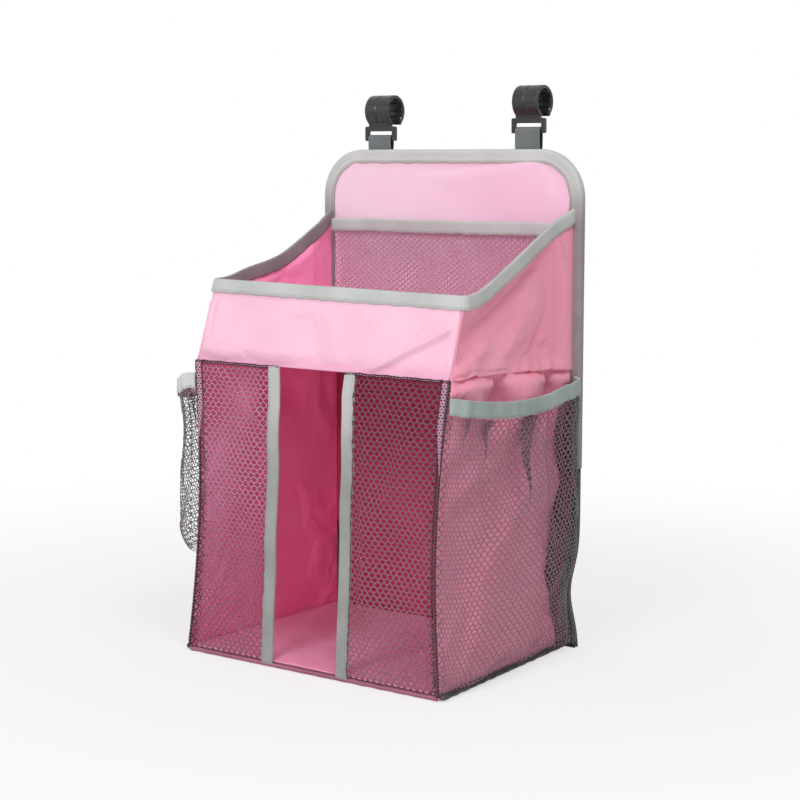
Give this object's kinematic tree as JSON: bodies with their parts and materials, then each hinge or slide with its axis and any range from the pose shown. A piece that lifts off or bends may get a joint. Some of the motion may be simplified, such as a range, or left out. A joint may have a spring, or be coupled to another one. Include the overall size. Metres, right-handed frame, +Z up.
{
  "type": "crib hanging organizer",
  "caption": "Fabric bedside organizer with an open tray, a slotted net compartment, side pockets and swivelling rail clips on webbing loops.",
  "frame": {"origin": "centre of the underside, on the surface that the organizer stands on", "axes": "+Z up, +X to the viewer's right seen from the front, +Y from the front towards the crib rail behind the back panel"},
  "size_m": [0.3118, 0.2216, 0.4609],
  "materials": {
    "pink_fabric": "matt woven polyester",
    "lining_fabric": "matt woven polyester lining",
    "grey_net": "open knitted net",
    "grey_binding": "ribbed edge tape",
    "elastic_tape": "woven elastic",
    "webbing": "flat woven webbing",
    "stiffener_board": "plain grey board",
    "clip_plastic": "satin black moulded plastic"
  },
  "bodies": {
    "organizer": {"back_panel_face": "pink_fabric", "back_panel_board": "stiffener_board", "back_panel_rear": "pink_fabric", "back_panel_binding": "grey_binding", "net_edge_left": "grey_net", "net_edge_right": "grey_net", "bottom_cover": "pink_fabric", "bottom_board": "stiffener_board", "floor_lining": "lining_fabric", "side_panel_left": "pink_fabric", "side_panel_right": "pink_fabric", "front_hem": "pink_fabric", "front_mesh_left": "grey_net", "front_mesh_right": "grey_net", "slot_binding_left": "grey_binding", "slot_binding_right": "grey_binding", "corner_piping_left": "grey_net", "corner_piping_right": "grey_net", "base_piping_left": "grey_net", "base_piping_right": "grey_net", "front_band": "pink_fabric", "tray_side_left": "pink_fabric", "tray_side_right": "pink_fabric", "rim_binding": "grey_binding", "inner_pocket_mesh": "grey_net", "inner_pocket_binding": "grey_binding", "side_pocket_left": "grey_net", "pocket_elastic_left": "elastic_tape", "side_pocket_right": "grey_net", "pocket_elastic_right": "elastic_tape", "tray_ledge_front": "lining_fabric", "tray_ledge_left": "lining_fabric", "tray_ledge_right": "lining_fabric", "tray_hinge_tape": "lining_fabric", "strap_tail_left": "webbing", "strap_tail_right": "webbing"},
    "tray_floor": {"tray_floor_cover": "lining_fabric", "tray_floor_board": "stiffener_board"},
    "strap_left": {"strap_loop_left": "webbing"},
    "strap_right": {"strap_loop_right": "webbing"},
    "clip_left": {"rail_clip_left": "clip_plastic"},
    "clip_right": {"rail_clip_right": "clip_plastic"}
  },
  "joints": [
    {"name": "tray_floor_lift", "type": "hinge", "parent": "organizer", "child": "tray_floor", "pos_m": [0, 0.0851, 0.2474], "axis": [-1, 0, 0], "range_deg": [0, 85]},
    {"name": "strap_bend_left", "type": "hinge", "parent": "organizer", "child": "strap_left", "pos_m": [-0.075, 0.1017, 0.4107], "axis": [1, 0, 0], "range_deg": [-70, 45]},
    {"name": "strap_bend_right", "type": "hinge", "parent": "organizer", "child": "strap_right", "pos_m": [0.075, 0.1017, 0.4107], "axis": [1, 0, 0], "range_deg": [-70, 45]},
    {"name": "clip_swing_left", "type": "hinge", "parent": "strap_left", "child": "clip_left", "pos_m": [-0.075, 0.1017, 0.4185], "axis": [1, 0, 0], "range_deg": [-60, 45]},
    {"name": "clip_swing_right", "type": "hinge", "parent": "strap_right", "child": "clip_right", "pos_m": [0.075, 0.1017, 0.424], "axis": [1, 0, 0], "range_deg": [-60, 45]}
  ]
}
